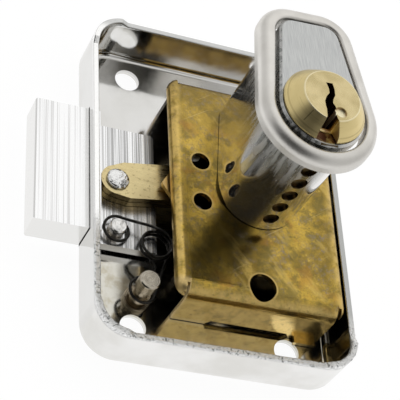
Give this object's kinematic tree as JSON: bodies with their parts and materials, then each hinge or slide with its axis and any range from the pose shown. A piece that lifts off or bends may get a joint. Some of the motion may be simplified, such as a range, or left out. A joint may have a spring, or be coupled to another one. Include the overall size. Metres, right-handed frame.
{
  "type": "furniture cylinder rim lock",
  "caption": "Furniture rim lock: open pressed case, thrown bolt worked by a crank and link under a brass cover, pear-shaped pin cylinder with rosette.",
  "frame": {"origin": "centre of the four case screw holes, on the outside of the case's back", "axes": "+Z from the case's back towards the key face, +Y along the case's long side towards the narrow end of the pear-shaped cylinder, bolt thrown towards -X"},
  "size_m": [0.0603, 0.07, 0.042],
  "materials": {
    "chromed_steel": "bright chrome plate on pressed steel",
    "plain_steel": "plain steel",
    "bolt_nickel": "bright nickel with straight mill lines",
    "link_brass": "pale satin brass",
    "cover_brass": "passivated yellow brass plate",
    "barrel_chrome": "polished chrome, brushed key face",
    "plug_brass": "satin pale brass",
    "rosette_nickel": "satin nickel",
    "black_wire": "blackened spring wire"
  },
  "bodies": {
    "lock_case": {"case": "chromed_steel", "bolt_rest_strip": "plain_steel", "link_keeper": "cover_brass", "keeper_spacers": "plain_steel", "mechanism_cover": "cover_brass", "cylinder_barrel": "barrel_chrome", "chamber_plugs": "plug_brass", "driver_pins": "plain_steel", "pin_springs": "plain_steel", "cylinder_screws": "plain_steel", "rosette": "rosette_nickel", "spring_post": "plain_steel", "spring_guard": "plain_steel", "toggle_spring": "black_wire"},
    "key_plug": {"plug": "plug_brass", "key_pins": "plug_brass", "plug_tail_bar": "plain_steel", "crank": "plain_steel", "crank_pin": "plain_steel", "plug_clip": "plain_steel"},
    "lock_bolt": {"bolt": "bolt_nickel", "bolt_link_rivet": "plain_steel", "spring_pin": "plain_steel"},
    "drive_link": {"drive_link_lower": "link_brass", "drive_link_upper": "link_brass"}
  },
  "joints": [
    {"name": "key_turn", "type": "hinge", "parent": "lock_case", "child": "key_plug", "pos_m": [0.00665, -0.0007, 0.02], "axis": [0, 0, -1], "range_deg": [0, 91.73]},
    {"name": "bolt_slide", "type": "slide", "parent": "lock_case", "child": "lock_bolt", "axis": [1, 0, 0], "range_m": [0, 0.0103], "deforming": ["toggle_spring"]},
    {"name": "link_swing", "type": "hinge", "parent": "lock_bolt", "child": "drive_link", "pos_m": [-0.01945, -0.0007, 0.0052], "axis": [0, 0, 1], "range_deg": [0, 9]}
  ],
  "couplings": [
    {"joint": "key_turn", "follows": "bolt_slide", "rad_per_m": 155.4},
    {"joint": "link_swing", "follows": "bolt_slide", "rad_per_m": 15.23}
  ]
}
